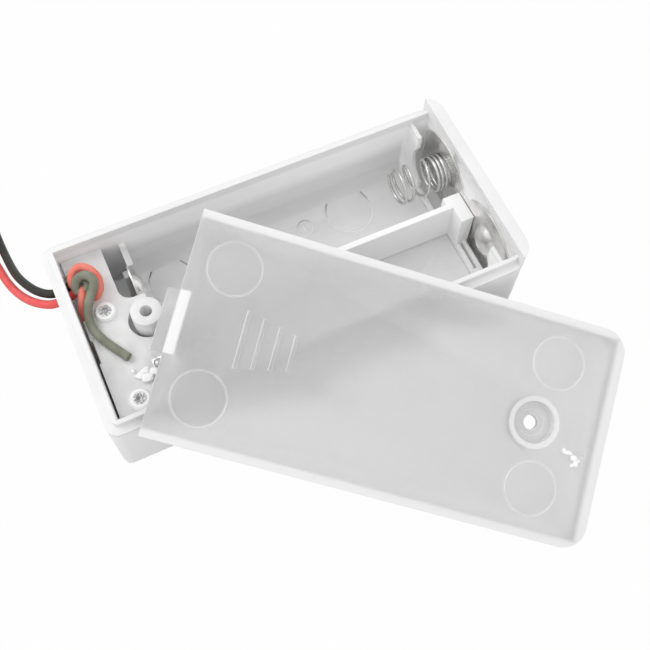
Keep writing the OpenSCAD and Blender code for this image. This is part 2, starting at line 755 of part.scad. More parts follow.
module solder_joints() {
    lug_x = lug_t / 2;
    color([0.75, 0.76, 0.78]) {
        translate(live_lug - [lug_x, 0, 0]) mirror([1, 0, 0]) dome(0.5, 0.6);
        translate(common_lug + [lug_x, 0, 0]) dome(0.5, 0.6);
        translate(positive_tag) rotate([0, 0, -90]) dome(0.8, 0.7);
        translate([partition_x - 1.3, -bay_y, tag_z + plate_t]) rotate([0, -90, 0]) dome(0.8, 0.5);
    }
}

module jumper_wire() {
    color([0.75, 0.12, 0.12]) tube(smooth(jumper_route, 2), jumper_d / 2);
}

module lead_knot() {
    color([0.75, 0.35, 0.28]) hull() {
        translate(knot_lumps[0]) sphere(r = 2, $fn = 24);
        translate(knot_lumps[1]) sphere(r = 1.9, $fn = 24);
        translate(knot_lumps[2]) sphere(r = 1.3, $fn = 24);
    }
}

module red_tail() {
    color([0.93, 0.5, 0.45]) tube(smooth(red_tail_route, 2), lead_d / 2);
}

module black_tail() {
    color([0.45, 0.46, 0.4]) tube(smooth(black_tail_route, 2), lead_d / 2);
}

module red_lead() {
    color([0.9, 0.25, 0.25]) tube(smooth(red_route, 2), lead_d / 2);
}

module black_lead() {
    color([0.08, 0.09, 0.07]) tube(smooth(black_route, 2), lead_d / 2);
}

module coil(at) {
    translate([at[0], at[1], bundle_r]) rotate_extrude($fn = 72)
        translate([coil_r, 0]) circle(bundle_r, $fn = 24);
}

module red_coil() {
    color([0.9, 0.25, 0.25]) coil(red_coil_at);
}

module black_coil() {
    color([0.08, 0.09, 0.07]) coil(black_coil_at);
}

// A tinned end with the last of its insulation, leaving a coil at the given angle
module wire_end(at, angle, paint) {
    start = 3;
    insulated = 4;
    translate([at[0], at[1], bundle_r]) rotate([0, 0, angle]) translate([coil_r, 0, 0]) rotate([-90, 0, 0]) {
        color(paint) translate([0, 0, start]) cylinder(r = lead_d / 2, h = insulated);
        color([0.8, 0.8, 0.8]) translate([0, 0, start + insulated]) cylinder(r = 0.45, h = tinned_l);
    }
}

module red_wire_end() {
    wire_end(red_coil_at, 195, [0.9, 0.25, 0.25]);
}

module black_wire_end() {
    wire_end(black_coil_at, 90, [0.08, 0.09, 0.07]);
}

battery_box();
box_cover();
switch_cover_plate();
joining_plate();
joining_spring();
positive_plate();
negative_plate();
negative_spring();
switch_frame();
switch_board();
switch_knob();
switch_wiper();
live_terminal();
common_terminal();
spare_terminal();
jumper_wire();
solder_joints();
lead_knot();
red_tail();
black_tail();
red_lead();
black_lead();
red_coil();
black_coil();
red_wire_end();
black_wire_end();
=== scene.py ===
import math

import bmesh
import bpy
from mathutils import Matrix, Vector, noise


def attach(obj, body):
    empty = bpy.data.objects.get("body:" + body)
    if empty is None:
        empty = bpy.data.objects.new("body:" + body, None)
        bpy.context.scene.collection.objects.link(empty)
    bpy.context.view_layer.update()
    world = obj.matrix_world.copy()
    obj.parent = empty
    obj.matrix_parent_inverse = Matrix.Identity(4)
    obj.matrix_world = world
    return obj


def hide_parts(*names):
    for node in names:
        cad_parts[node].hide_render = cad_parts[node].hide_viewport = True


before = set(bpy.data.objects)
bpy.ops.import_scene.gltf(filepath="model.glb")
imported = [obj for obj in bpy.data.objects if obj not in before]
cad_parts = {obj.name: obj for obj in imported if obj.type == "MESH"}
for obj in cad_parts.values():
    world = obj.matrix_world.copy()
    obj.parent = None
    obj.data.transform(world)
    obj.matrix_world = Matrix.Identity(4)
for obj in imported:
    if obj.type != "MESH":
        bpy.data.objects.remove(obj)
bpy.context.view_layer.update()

scene = bpy.context.scene
mm = 0.001


def metres(*values):
    return tuple(value * mm for value in values)


def linked(name, data):
    piece = bpy.data.objects.new(name, data)
    scene.collection.objects.link(piece)
    return piece


# Where the camera stands, how it is turned (degrees) and its lens
view = {"place": (-25.42, -67.04, 142.04), "turn": (25.12, -0.6, -24.66), "lens": 51.32}


def makeCamera():
    camera = linked("camera", bpy.data.cameras.new("camera"))
    camera.data.lens = view["lens"]
    camera.data.clip_start = 0.01
    camera.location = metres(*view["place"])
    camera.rotation_euler = [math.radians(angle) for angle in view["turn"]]
    scene.camera = camera


makeCamera()
print("camera set")


# A socket that does maths: an expression on it adds its Math nodes
class Value:
    def __init__(self, tree, socket):
        self.tree = tree
        self.socket = socket

    def maths(self, operation, *values):
        return self.tree.node("ShaderNodeMath", {"operation": operation}, dict(enumerate(values)))["Value"]

    def __add__(self, other):
        return self.maths("ADD", self, other)

    def __radd__(self, other):
        return self.maths("ADD", other, self)

    def __sub__(self, other):
        return self.maths("SUBTRACT", self, other)

    def __rsub__(self, other):
        return self.maths("SUBTRACT", other, self)

    def __mul__(self, other):
        return self.maths("MULTIPLY", self, other)

    def __rmul__(self, other):
        return self.maths("MULTIPLY", other, self)

    def atLeast(self, other):
        return self.maths("MAXIMUM", self, other)

    def atMost(self, other):
        return self.maths("MINIMUM", self, other)

    def clipped(self):
        return self.atLeast(0).atMost(1)

    # 0 below the first number and 1 above the second; the other way round if the first is larger
    def rise(self, first, second):
        return ((self - first) * (1 / (second - first))).clipped()

    def size(self):
        return self.maths("ABSOLUTE", self)


class Made:
    def __init__(self, tree, node):
        self.tree = tree
        self.node = node

    def __getitem__(self, key):
        return Value(self.tree, self.node.outputs[key])


def fillRamp(ramp, stops):
    while len(ramp.elements) > 1:
        ramp.elements.remove(ramp.elements[-1])
    ramp.elements[0].position, ramp.elements[0].color = stops[0]
    for place, colour in stops[1:]:
        ramp.elements.new(place).color = colour


# Any node tree: one method makes any node, its settings first and then its sockets
class Tree:
    def __init__(self, tree):
        self.tree = tree

    def node(self, kind, settings=None, sockets=None):
        made = self.tree.nodes.new(kind)
        for key, value in (settings or {}).items():
            if key == "stops":
                fillRamp(made.color_ramp, value)
            else:
                setattr(made, key, value)
        for key, value in (sockets or {}).items():
            if isinstance(value, Value):
                self.tree.links.new(value.socket, made.inputs[key])
            else:
                made.inputs[key].default_value = value
        return Made(self, made)


def grey(level):
    return (level, level, level, 1)


# A material: its Principled shader and the piece's own coordinates
class Finish(Tree):
    def __init__(self, name, **fixed):
        self.material = bpy.data.materials.new(name)
        self.material.use_nodes = True
        super().__init__(self.material.node_tree)
        self.tree.nodes.clear()
        self.shader = self.node("ShaderNodeBsdfPrincipled")
        self.place = self.node("ShaderNodeTexCoord")["Object"]
        self.set(**fixed)

    def set(self, shader=None, **values):
        for key, value in values.items():
            socket = (shader or self.shader).node.inputs[key.replace("_", " ")]
            if isinstance(value, Value):
                self.tree.links.new(value.socket, socket)
            else:
                socket.default_value = value

    def finished(self, surface=None):
        surface = surface or self.shader["BSDF"]
        self.node("ShaderNodeOutputMaterial", None, {"Surface": surface})
        return self.material

    # Millimetres along x, y and z, on the piece or on a frame of its own
    def along(self, place=None):
        parts = self.node("ShaderNodeSeparateXYZ", None, {"Vector": place or self.place})
        return [parts[axis] * (1 / mm) for axis in "XYZ"]

    def turned(self, frameMatrix):
        return self.node("ShaderNodeMapping", {"vector_type": "TEXTURE"}, {
            "Vector": self.place, "Location": frameMatrix.translation, "Rotation": frameMatrix.to_euler(),
        })["Vector"]

    # Noise whose lumps are about this many millimetres across
    def noise(self, size, detail=2, stretch=(1, 1, 1), place=None):
        place = self.node(
            "ShaderNodeVectorMath", {"operation": "MULTIPLY"}, {0: place or self.place, 1: stretch}
        )["Vector"]
        return self.node(
            "ShaderNodeTexNoise", None, {"Vector": place, "Scale": 1 / (size * mm), "Detail": detail}
        )["Fac"]

    # 1 at a point (mm) and 0 from radius outwards, soft over the last part
    def spot(self, point, radius, soft, place=None):
        distance = self.node(
            "ShaderNodeVectorMath", {"operation": "DISTANCE"}, {0: place or self.place, 1: metres(*point)}
        )["Value"]
        return (distance * (1 / mm)).rise(radius, radius - soft)

    def blend(self, amount, first, second):
        return self.node("ShaderNodeMix", {"data_type": "RGBA"}, {0: amount, 6: first, 7: second})[2]

    def bump(self, height, depth):
        return self.node("ShaderNodeBump", None, {"Height": height, "Distance": depth * mm})["Normal"]

    # Clear patches out of a soft noise
    def patches(self, cloud):
        return (cloud * 2.4 - 0.8).clipped()


# A plastic that passes light where it is thin and turns white where it is thick or rough.
# Some of its white is painted light, laid on by masks
class Plastic(Finish):
    def __init__(self, name, white, **fixed):
        super().__init__(name, **fixed)
        self.cloudy = self.node("ShaderNodeBsdfPrincipled")
        self.set(self.cloudy, Base_Color=grey(white), Roughness=0.45, IOR=1.49)

    def whitened(self, amount):
        return self.finished(self.node("ShaderNodeMixShader", None, {
            0: amount, 1: self.shader["BSDF"], 2: self.cloudy["BSDF"],
        })["Shader"])


# Where the loose cover lies: its own frame has x from the hook edge and z out of the outer face
cover = {
    "length": 67.8, "width": 34, "corner": 3.7, "turn": 38, "slip": 10.8, "x": -20.5, "depth": 3,
    "lipY": 15.8, "lipZ": 15.6, "gap": 0.03,
}


def coverFrame():
    turn = math.radians(cover["turn"])
    reach = (cover["length"] - cover["corner"]) * math.sin(turn)
    reach += (cover["width"] / 2 - cover["corner"]) * math.cos(turn) + cover["corner"]
    tilt = math.asin(cover["lipZ"] / (reach - cover["slip"]))
    lip = Matrix.Translation(metres(cover["x"], -cover["lipY"], cover["lipZ"] + cover["gap"]))
    slid = Matrix.Translation(metres(0, cover["slip"], cover["depth"]))
    return lip @ Matrix.Rotation(tilt, 4, "X") @ slid @ Matrix.Rotation(-turn, 4, "Z")


coverPlace = coverFrame()

# Plastics. A look has its colours and the amount of white in each form, a zone the millimetres that
# it fades in over. The grey tints are partly painted shade, and the white on the upper walls, outer
# shell, rib, supports and posts is painted light
clearLook = {
    "tint": 0.76, "tintSpread": (0.09, 0.05), "roughness": 0.16, "white": 0.97, "dull": (0.76, 0.88),
    "speckle": 0.38, "haze": 0.6, "grain": 0.25, "flow": 7, "bump": 0.02,
    # Painted light: the white amounts for upper walls, shell, rib, supports and posts make up for shade
    "rim": 0.3, "upper": 0.4, "shell": 0.35, "rib": 0.4, "supports": 0.35, "posts": 0.2,
    "stakes": 0.95, "marks": 0.85,
}
clearZones = {
    "rim": (13.7, 14.2), "floor": (1.3, 2.2), "rib": (2.2, 1.6), "ribEnd": (-22, -21),
    "supports": (28.2, 28.8), "posts": (-22.5, -23.5), "marks": (1.03, 1.05), "marksTop": (1.2, 1.18),
    "upper": (7, 12), "upperSide": (14, 15), "upperEnd": (-31.5, -32.5),
    "shellSide": (15, 15.4), "shellEnd": (33, 33.4), "insideSide": (15.5, 15.2), "insideEnd": (33.5, 33.2),
}
stakes = {"tops": [(-28.9, 3.7, 12.9), (-28.9, -12.1, 12.9)], "tip": 1.15, "head": 2.1, "soft": 0.3}
frostLook = {
    "tint": 0.66, "tintSpread": 0.04, "roughness": 0.4, "white": 0.9, "haze": 0.38,
    "grain": 0.34, "grainAmount": 0.3, "cloud": 12, "bump": 0.018,
    "border": 0.2, "hook": 0.08, "hookGloss": 0.7, "ring": 0.4, "sides": 0.34, "web": 0.6,
}
well = {"x": 56.1, "wall": 4.0, "inner": 3.2, "soft": 0.2}


def clearPlastic():
    finish = Plastic("clearPlastic", clearLook["white"], Transmission_Weight=1.0, IOR=1.49)
    x, y, z = finish.along()
    flow = finish.noise(clearLook["flow"], 4, (0.22, 1, 1))
    grain = finish.noise(clearLook["grain"], 2)
    tips, heads = [
        finish.spot(stakes["tops"][0], stakes[part], stakes["soft"]).atLeast(
            finish.spot(stakes["tops"][1], stakes[part], stakes["soft"])
        )
        for part in ("tip", "head")
    ]
    speckle = (finish.noise(0.3, 3) * 6 - 2.4).clipped() * tips
    rim = z.rise(*clearZones["rim"])
    darker, lighter = clearLook["tintSpread"]
    # Painted shade: this tint is darker than the plastic's own grey, standing for the shadowed table seen
    # through it
    tint = finish.blend(flow, grey(clearLook["tint"] - darker), grey(clearLook["tint"] + lighter))
    surface = finish.bump(grain + flow * 3 + speckle * 5, clearLook["bump"])
    finish.set(
        Base_Color=finish.blend(speckle, tint, grey(clearLook["speckle"])), Normal=surface,
        Roughness=clearLook["roughness"] + flow * 0.1 + tips * 0.3,
    )
    dull = finish.blend(flow, *[grey(level) for level in clearLook["dull"]])
    cloudy = finish.blend(rim * (1 - tips), grey(clearLook["white"]), dull)
    finish.set(
        finish.cloudy, Normal=surface,
        Base_Color=finish.blend(speckle, cloudy, grey(clearLook["speckle"])),
    )
    # Painted light: the rib, supports, posts, upper walls and outer faces of the walls are whitened where
    # they lie in shade
    aboveFloor = z.rise(*clearZones["floor"])
    rib = y.size().rise(*clearZones["rib"]) * aboveFloor * x.rise(*clearZones["ribEnd"])
    supports = x.rise(*clearZones["supports"]) * aboveFloor
    posts = x.rise(*clearZones["posts"]) * aboveFloor
    marks = z.rise(*clearZones["marks"]) * z.rise(*clearZones["marksTop"])
    outer = y.size().rise(*clearZones["upperSide"]).atLeast(x.rise(*clearZones["upperEnd"]))
    upper = z.rise(*clearZones["upper"]) * outer
    shell = y.size().rise(*clearZones["shellSide"]).atLeast(x.size().rise(*clearZones["shellEnd"]))
    inside = y.size().rise(*clearZones["insideSide"]) * x.size().rise(*clearZones["insideEnd"])
    formsPaintedLight = (rib * clearLook["rib"]).atLeast(supports * clearLook["supports"])
    formsPaintedLight = formsPaintedLight.atLeast(posts * clearLook["posts"]) * inside
    amount = (rim * clearLook["rim"]).atLeast(upper * clearLook["upper"])
    amount = amount.atLeast(shell * clearLook["shell"]).atLeast(formsPaintedLight) + clearLook["haze"]
    amount = amount.atLeast(heads * clearLook["stakes"]).atLeast(marks * clearLook["marks"])
    streak = flow * 0.25 - 0.05
    return finish.whitened((amount + streak).clipped())


def frostedPlastic():
    finish = Plastic("frostedPlastic", frostLook["white"], Transmission_Weight=1.0, IOR=1.49)
    local = finish.turned(coverPlace)
    x, y = finish.along(local)[:2]
    grain = finish.noise(frostLook["grain"], 3)
    cloud = finish.noise(frostLook["cloud"], 3, (1, 1, 1), local)
    hook = x.rise(0.2, -0.1)
    # Painted shade: the cover's tint is darker than its own grey, standing for the shadowed table seen
    # through it
    tint = [grey(frostLook["tint"] + side * frostLook["tintSpread"]) for side in (-1, 1)]
    surface = finish.bump(grain, frostLook["bump"])
    finish.set(
        Base_Color=finish.blend(cloud, *tint), Normal=surface,
        Roughness=(frostLook["roughness"] + cloud * 0.06) * (1 - hook * frostLook["hookGloss"]),
    )
    finish.set(finish.cloudy, Normal=surface)
    flat = finish.node(
        "ShaderNodeVectorMath", {"operation": "MULTIPLY"}, {0: local, 1: (1, 1, 0)}
    )["Vector"]
    ringWide = finish.spot((well["x"], 0, 0), well["wall"] + 0.1, well["soft"], flat)
    ringFine = finish.spot((well["x"], 0, 0), well["inner"] + 0.05, well["soft"], flat)
    edge, end = cover["width"] / 2, cover["length"]
    sides = y.size().rise(edge - 1.5, edge - 1.0).atLeast(x.rise(end - 1.9, end - 1.1))
    border = y.size().rise(edge - 4, edge).atLeast(x.rise(end - 6, end))
    web = x.rise(-0.2, 0.1) * x.rise(1.8, 1.4) * y.size().rise(4.9, 4.6)
    amount = frostLook["haze"] + (grain - 0.5) * frostLook["grainAmount"] * (1 - hook) * (1 - sides)
    amount = amount + border * frostLook["border"] + hook * frostLook["hook"]
    bright = ((ringWide - ringFine) * frostLook["ring"]).atLeast(sides * frostLook["sides"])
    amount = amount + bright.atLeast(web * frostLook["web"])
    return finish.whitened(amount.clipped())


def milkyPlastic():
    finish = Plastic("milkyPlastic", 0.9, Transmission_Weight=1.0, IOR=1.49)
    grain = finish.noise(0.3, 3)
    cloud = finish.noise(3.5, 4)
    surface = finish.bump(grain + cloud * 2, 0.04)
    finish.set(Base_Color=grey(0.86), Roughness=0.35 + cloud * 0.1, Normal=surface)
    finish.set(finish.cloudy, Normal=surface, Base_Color=finish.blend(cloud, grey(0.92), grey(1)))
    return finish.whitened((0.76 + (cloud - 0.5) * 0.5).clipped())


# Painted highlight: the same plastics whitened along their edges, where light gathers
def edgeHighlight(name, white, amount):
    finish = Plastic(name, white, Transmission_Weight=1.0, IOR=1.49, Roughness=0.3)
    cloud = finish.noise(1.2, 3)
    finish.set(Base_Color=grey(0.95))
    finish.set(finish.cloudy, Base_Color=finish.blend(cloud, grey(white - 0.06), grey(white)))
    return finish.whitened((amount - 0.2 + cloud * 0.4).clipped())


def nickelPlate(name, level=0.9, roughness=0.07, warm=0.02):
    finish = Finish(name, Metallic=1.0)
    scratch = finish.noise(0.12, 2, (0.06, 1, 1))
    cloud = finish.noise(2.4, 4)
    light = (level, level - warm * 0.4, level - warm, 1)
    # Painted reflection: the darker patches stand in for dark surroundings mirrored in the metal
    dull = (level * 0.66, level * 0.655, level * 0.64, 1)
    finish.set(
        Base_Color=finish.blend(finish.patches(cloud), light, dull),
        Roughness=roughness + scratch * 0.1 + cloud * 0.08,
        Normal=finish.bump(scratch + cloud * 9, 0.02),
    )
    return finish.finished()


def insulation(name, colour, dusty, roughness=0.42):
    finish = Finish(name, IOR=1.45)
    cloud = finish.noise(2.2, 3)
    grain = finish.noise(0.15, 2)
    finish.set(
        Base_Color=finish.blend(finish.patches(cloud), (*colour, 1), (*dusty, 1)),
        Roughness=roughness + cloud * 0.14,
        Normal=finish.bump(grain + cloud * 2, 0.02),
    )
    return finish.finished()


def blackPlastic():
    finish = Finish("blackPlastic", IOR=1.5)
    grain = finish.noise(0.2, 3)
    finish.set(
        Base_Color=finish.blend(grain, grey(0.012), grey(0.03)),
        Roughness=0.32 + grain * 0.2,
        Normal=finish.bump(grain, 0.02),
    )
    return finish.finished()


def boardLaminate():
    finish = Finish("boardLaminate", IOR=1.5)
    fibre = finish.noise(0.25, 3, (1, 0.2, 1))
    finish.set(
        Base_Color=finish.blend(fibre, (0.13, 0.062, 0.025, 1), (0.27, 0.15, 0.07, 1)),
        Roughness=0.45 + fibre * 0.2,
        Normal=finish.bump(fibre, 0.02),
    )
    return finish.finished()


clear = clearPlastic()
frosted = frostedPlastic()
milky = milkyPlastic()
clearEdgeHighlight = edgeHighlight("clearEdgeHighlight", 0.98, 0.8)
frostedEdgeHighlight = edgeHighlight("frostedEdgeHighlight", 0.98, 0.66)
milkyWhiteAndEdgeHighlight = edgeHighlight("milkyWhiteAndEdgeHighlight", 1.0, 1.1)
nickel = nickelPlate("brightNickel")
# Painted highlight: brighter, rougher nickel on the plates' rounded edges
nickelEdgeHighlight = nickelPlate("nickelEdgeHighlight", 0.98, 0.34, 0.0)
springWire = nickelPlate("springWire", 0.76, 0.08, 0.0)
steel = nickelPlate("switchSteel", 0.66, 0.26, 0.0)
tinned = nickelPlate("tinnedBrass", 0.72, 0.22, 0.05)
brass = nickelPlate("springBrass", 0.7, 0.2, 0.42)
solder = nickelPlate("brightSolder", 0.7, 0.24, 0.0)
redSkin = insulation("redSkin", (0.8, 0.085, 0.085), (0.85, 0.14, 0.13))
blackSkin = insulation("blackSkin", (0.006, 0.008, 0.005), (0.02, 0.024, 0.016))
paleRedSkin = insulation("paleRedSkin", (0.8, 0.17, 0.13), (0.82, 0.28, 0.22), 0.5)
oliveSkin = insulation("oliveSkin", (0.19, 0.195, 0.145), (0.29, 0.3, 0.235), 0.5)
black = blackPlastic()
laminate = boardLaminate()
print("finishes made")


def smoothed(mesh, angle=35):
    mesh.polygons.foreach_set("use_smooth", [True] * len(mesh.polygons))
    mesh.set_sharp_from_angle(angle=math.radians(angle))


def settled(piece, body, slot, *nodes):
    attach(piece, body)
    if nodes:
        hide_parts(*nodes)
    return piece


# Leads: each leaves the knot by the lead hole, falls to the table and ends in a small coil
lead = {
    "diameter": 1.4, "coilRadius": 7, "spread": 0.71, "low": 0.73, "high": 2.16, "tinned": 5,
    "inward": 285, "upward": 600, "change": 45, "step": 15, "tail": (2.4, 4.8, 7), "fall": 0.13,
}
redLead = {
    "exit": (-35, 8.65, 11.6),
    "way": [
        (-31.6, 8.7, 13.5), (-32.7, 8.65, 12), (-34, 8.65, 11.6), (-35.8, 8.9, 11.3), (-36.6, 9.3, 11.05),
        (-37.4, 9.9, 10.7), (-38.9, 11.6, 9.6), (-40.2, 13.9, 8.2), (-41.3, 16.6, 6.6), (-42.1, 19.6, 4.8),
        (-42.45, 21.2, 3.9), (-42.75, 23, 3), (-43.1, 25, 2), (-43.6, 27.4, 1.2), (-44.1, 29.4, 0.85),
    ],
    "coil": (-52.2, 29.5), "from": 15, "turns": 2.5,
}
blackLead = {
    "exit": (-35, 10.35, 11.6),
    "way": [
        (-31.6, 10.4, 13.6), (-32.7, 10.35, 12), (-34, 10.35, 11.6), (-35.6, 10.6, 11.4), (-37, 11.8, 10.9),
        (-38.2, 13.6, 9.9), (-39.4, 16.4, 8.4), (-40.3, 19.4, 6.6), (-40.8, 22.6, 4.8), (-41.2, 25.8, 3.2),
        (-41.5, 29, 2), (-41.7, 32.5, 1.2), (-41.7, 36.5, 0.8), (-41.5, 41, 0.73), (-41.32, 44, 0.73),
    ],
    "coil": (-49, 46.8), "from": 0, "turns": 2.25,
}


def eased(amount):
    amount = min(max(amount, 0), 1)
    return amount * amount * (3 - 2 * amount)


# One point on the coil, `turn` degrees along it: outer turn, inner turn, then over them both
def coilPoint(piece, turn):
    inward = eased((turn - lead["inward"]) / lead["change"])
    upward = eased((turn - lead["upward"]) / lead["change"])
    offset = lead["spread"] * (1 - 2 * inward + upward)
    height = lead["low"] + (lead["high"] - lead["low"]) * upward
    angle = math.radians(piece["from"] + turn)
    radius = lead["coilRadius"] + offset
    return (
        piece["coil"][0] + radius * math.cos(angle), piece["coil"][1] + radius * math.sin(angle), height,
    )


def coiledWay(piece):
    total = round(piece["turns"] * 360)
    points = list(piece["way"])
    points += [coilPoint(piece, turn) for turn in range(0, total + 1, lead["step"])]
    angle = math.radians(piece["from"] + total)
    ahead = Vector((-math.sin(angle), math.cos(angle), -lead["fall"]))
    end = Vector(points[-1])
    return points + [tuple(end + ahead * step) for step in lead["tail"]], ahead


# Finely enough divided to look round: faces around, steps along, and the order of the curve
wire = {"around": 5, "along": 4, "order": 4}


def wireCurve(name, points, diameter, skin):
    data = bpy.data.curves.new(name, "CURVE")
    data.dimensions = "3D"
    data.bevel_depth = diameter * mm / 2
    data.bevel_resolution = wire["around"]
    data.use_fill_caps = True
    data.resolution_u = wire["along"]
    spline = data.splines.new("NURBS")
    spline.points.add(len(points) - 1)
    for place, point in zip(points, spline.points):
        point.co = (*metres(*place), 1)
    spline.order_u = wire["order"]
    spline.use_endpoint_u = True
    data.materials.append(skin)
    return linked(name, data)


# A tinned end: seven fine strands twisted and soldered together
strands = {"count": 7, "radius": 0.16, "twist": 1.6, "ring": 0.27, "steps": 24, "sides": 8, "hidden": 0.4}


def strandedEnd(name, start, ahead):
    shape = bmesh.new()
    side = ahead.cross(Vector((0, 0, 1))).normalized()
    up = side.cross(ahead).normalized()
    steps, sides = strands["steps"], strands["sides"]
    for strand in range(strands["count"]):
        ring = 0 if strand == 0 else strands["ring"]
        rings = []
        for step in range(steps + 1):
            along = step / steps
            angle = 2 * math.pi * (strand / (strands["count"] - 1) + along * strands["twist"])
            middle = start + ahead * (along * lead["tinned"] - strands["hidden"])
            middle += (side * math.cos(angle) + up * math.sin(angle)) * ring
            rings.append([
                shape.verts.new(metres(*(middle + (
                    side * math.cos(2 * math.pi * turn / sides) + up * math.sin(2 * math.pi * turn / sides)
                ) * strands["radius"])))
                for turn in range(sides)
            ])
        for low, high in zip(rings, rings[1:]):
            for turn in range(sides):
                beside = (turn + 1) % sides
                shape.faces.new([low[turn], low[beside], high[beside], high[turn]])
        shape.faces.new(list(reversed(rings[0])))
        shape.faces.new(rings[-1])
    bmesh.ops.recalc_face_normals(shape, faces=shape.faces)
    mesh = bpy.data.meshes.new(name)
    shape.to_mesh(mesh)
    shape.free()
    mesh.materials.append(tinned)
    smoothed(mesh, 60)
    return linked(name, mesh)


def makeLead(name, piece, skin, slot, nodes):
    points, ahead = coiledWay(piece)
    tip = strandedEnd(name + "Tip", Vector(points[-1]), ahead.normalized())
    settled(tip, "box", "terminal_metal")
    cord = wireCurve(name, points, lead["diameter"], skin)
    settled(cord, "box", slot, *nodes)
    metres(*piece["exit"])


makeLead(
    "redLead", redLead, redSkin, "red_insulation", ("red_lead", "red_coil", "red_wire_end")
)
makeLead(
    "blackLead", blackLead, blackSkin, "black_insulation", ("black_lead", "black_coil", "black_wire_end")
)


# A copy of a CAD node with its doubles merged and its edges rounded. Where it has two skins, the last
# one is on the rounded edges, as a painted highlight. Angles are in degrees.
rounding = {"merge": 0.002, "flat": 0.6, "angle": 30, "segments": 2}


def remade(node, name, skins, slot, edge, body="box"):
    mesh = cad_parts[node].data.copy()
    shape = bmesh.new()
    shape.from_mesh(mesh)
    bmesh.ops.remove_doubles(shape, verts=shape.verts, dist=rounding["merge"] * mm)
    bmesh.ops.dissolve_limit(
        shape, angle_limit=math.radians(rounding["flat"]), verts=shape.verts, edges=shape.edges
    )
    shape.to_mesh(mesh)
    shape.free()
    mesh.materials.clear()
    for skin in skins:
        mesh.materials.append(skin)
    maker = linked(name + "Maker", mesh)
    bevel = maker.modifiers.new("edges", "BEVEL")
    bevel.width = edge * mm
    bevel.segments = rounding["segments"]
    bevel.limit_method = "ANGLE"
    bevel.angle_limit = math.radians(rounding["angle"])
    bevel.material = len(skins) - 1
    graph = bpy.context.evaluated_depsgraph_get()
    mesh = bpy.data.meshes.new_from_object(maker.evaluated_get(graph))
    bpy.data.objects.remove(maker)
    smoothed(mesh)
    mesh.name = name
    return settled(linked(name, mesh), body, slot, node)


remade("battery_box", "clearBox", [clear, clearEdgeHighlight], "clear_plastic", 0.14)
remade("box_cover", "frostedCover", [frosted, frostedEdgeHighlight], "frosted_plastic", 0.06)
remade("switch_cover_plate", "switchDeck", [milky, milkyWhiteAndEdgeHighlight], "milky_plastic", 0.14)
print("box, cover and switch plate made")

remade("joining_plate", "joiningPlate", [nickel, nickelEdgeHighlight], "nickel", 0.13)
remade("positive_plate", "positivePlate", [nickel, nickelEdgeHighlight], "nickel", 0.13)
remade("negative_plate", "negativePlate", [nickel, nickelEdgeHighlight], "nickel", 0.13)
remade("switch_frame", "switchCan", [steel], "switch_steel", 0.1)
remade("switch_board", "switchBoard", [laminate], "switch_board", 0.05)
remade("switch_knob", "switchKnob", [black], "black_plastic", 0.08, body="slider")
remade("switch_wiper", "switchWiper", [brass], "contact_brass", 0.04, body="slider")
remade("live_terminal", "liveTerminal", [tinned], "terminal_metal", 0.05)
remade("common_terminal", "commonTerminal", [tinned], "terminal_metal", 0.05)
remade("spare_terminal", "spareTerminal", [tinned], "terminal_metal", 0.05)
remade("solder_joints", "solderJoints", [solder], "solder", 0.05)
print("plates and switch made")


# Small rough bits of plastic: the gate's stub on the cover, and a few melted crumbs by the switch plate.
# Each bit has its middle and its half sizes
rough = {"rounds": 2, "lumps": 1.4, "depth": 0.5}
gateBits = {
    "seed": 3, "skin": milkyWhiteAndEdgeHighlight, "frame": coverPlace, "slot": "frosted_plastic",
    "bits": [
        ((62.2, -3.1, 0.05), (1.1, 0.36, 0.26)), ((61.6, -2.8, 0.05), (0.4, 0.3, 0.3)),
        ((63.4, -3.7, 0.1), (0.6, 0.5, 0.3)), ((63.8, -4.4, 0.1), (0.5, 0.6, 0.28)),
        ((63.3, -4.8, 0.05), (0.35, 0.3, 0.22)), ((64.2, -3.9, 0.05), (0.25, 0.3, 0.2)),
    ],
}
meltedBits = {
    "seed": 8, "skin": milkyWhiteAndEdgeHighlight, "frame": Matrix.Identity(4), "slot": "milky_plastic",
    "bits": [
        ((-27.6, -8.7, 12.88), (0.8, 0.6, 0.14)), ((-26.6, -9.4, 12.88), (1.0, 0.8, 0.16)),
        ((-25.5, -8.9, 12.88), (0.8, 0.7, 0.15)), ((-26.6, -8.3, 12.88), (0.9, 0.6, 0.18)),
        ((-28.3, -7.6, 12.88), (0.3, 0.4, 0.12)),
    ],
}


def roughBits(name, piece):
    shape = bmesh.new()
    for number, (place, radii) in enumerate(piece["bits"]):
        made = bmesh.ops.create_icosphere(shape, subdivisions=rough["rounds"], radius=1)["verts"]
        for vert in made:
            lump = noise.noise(vert.co * rough["lumps"] + Vector((piece["seed"], number, 0)))
            wobble = 1 + rough["depth"] * lump
            at = [place[axis] + vert.co[axis] * wobble * radii[axis] for axis in range(3)]
            vert.co = piece["frame"] @ Vector(metres(*at))
    mesh = bpy.data.meshes.new(name)
    shape.to_mesh(mesh)
    shape.free()
    mesh.materials.append(piece["skin"])
    smoothed(mesh, 180)
    settled(linked(name, mesh), "box", piece["slot"])


roughBits("gateStub", gateBits)
roughBits("meltedCrumbs", meltedBits)
print("stub and crumbs made")


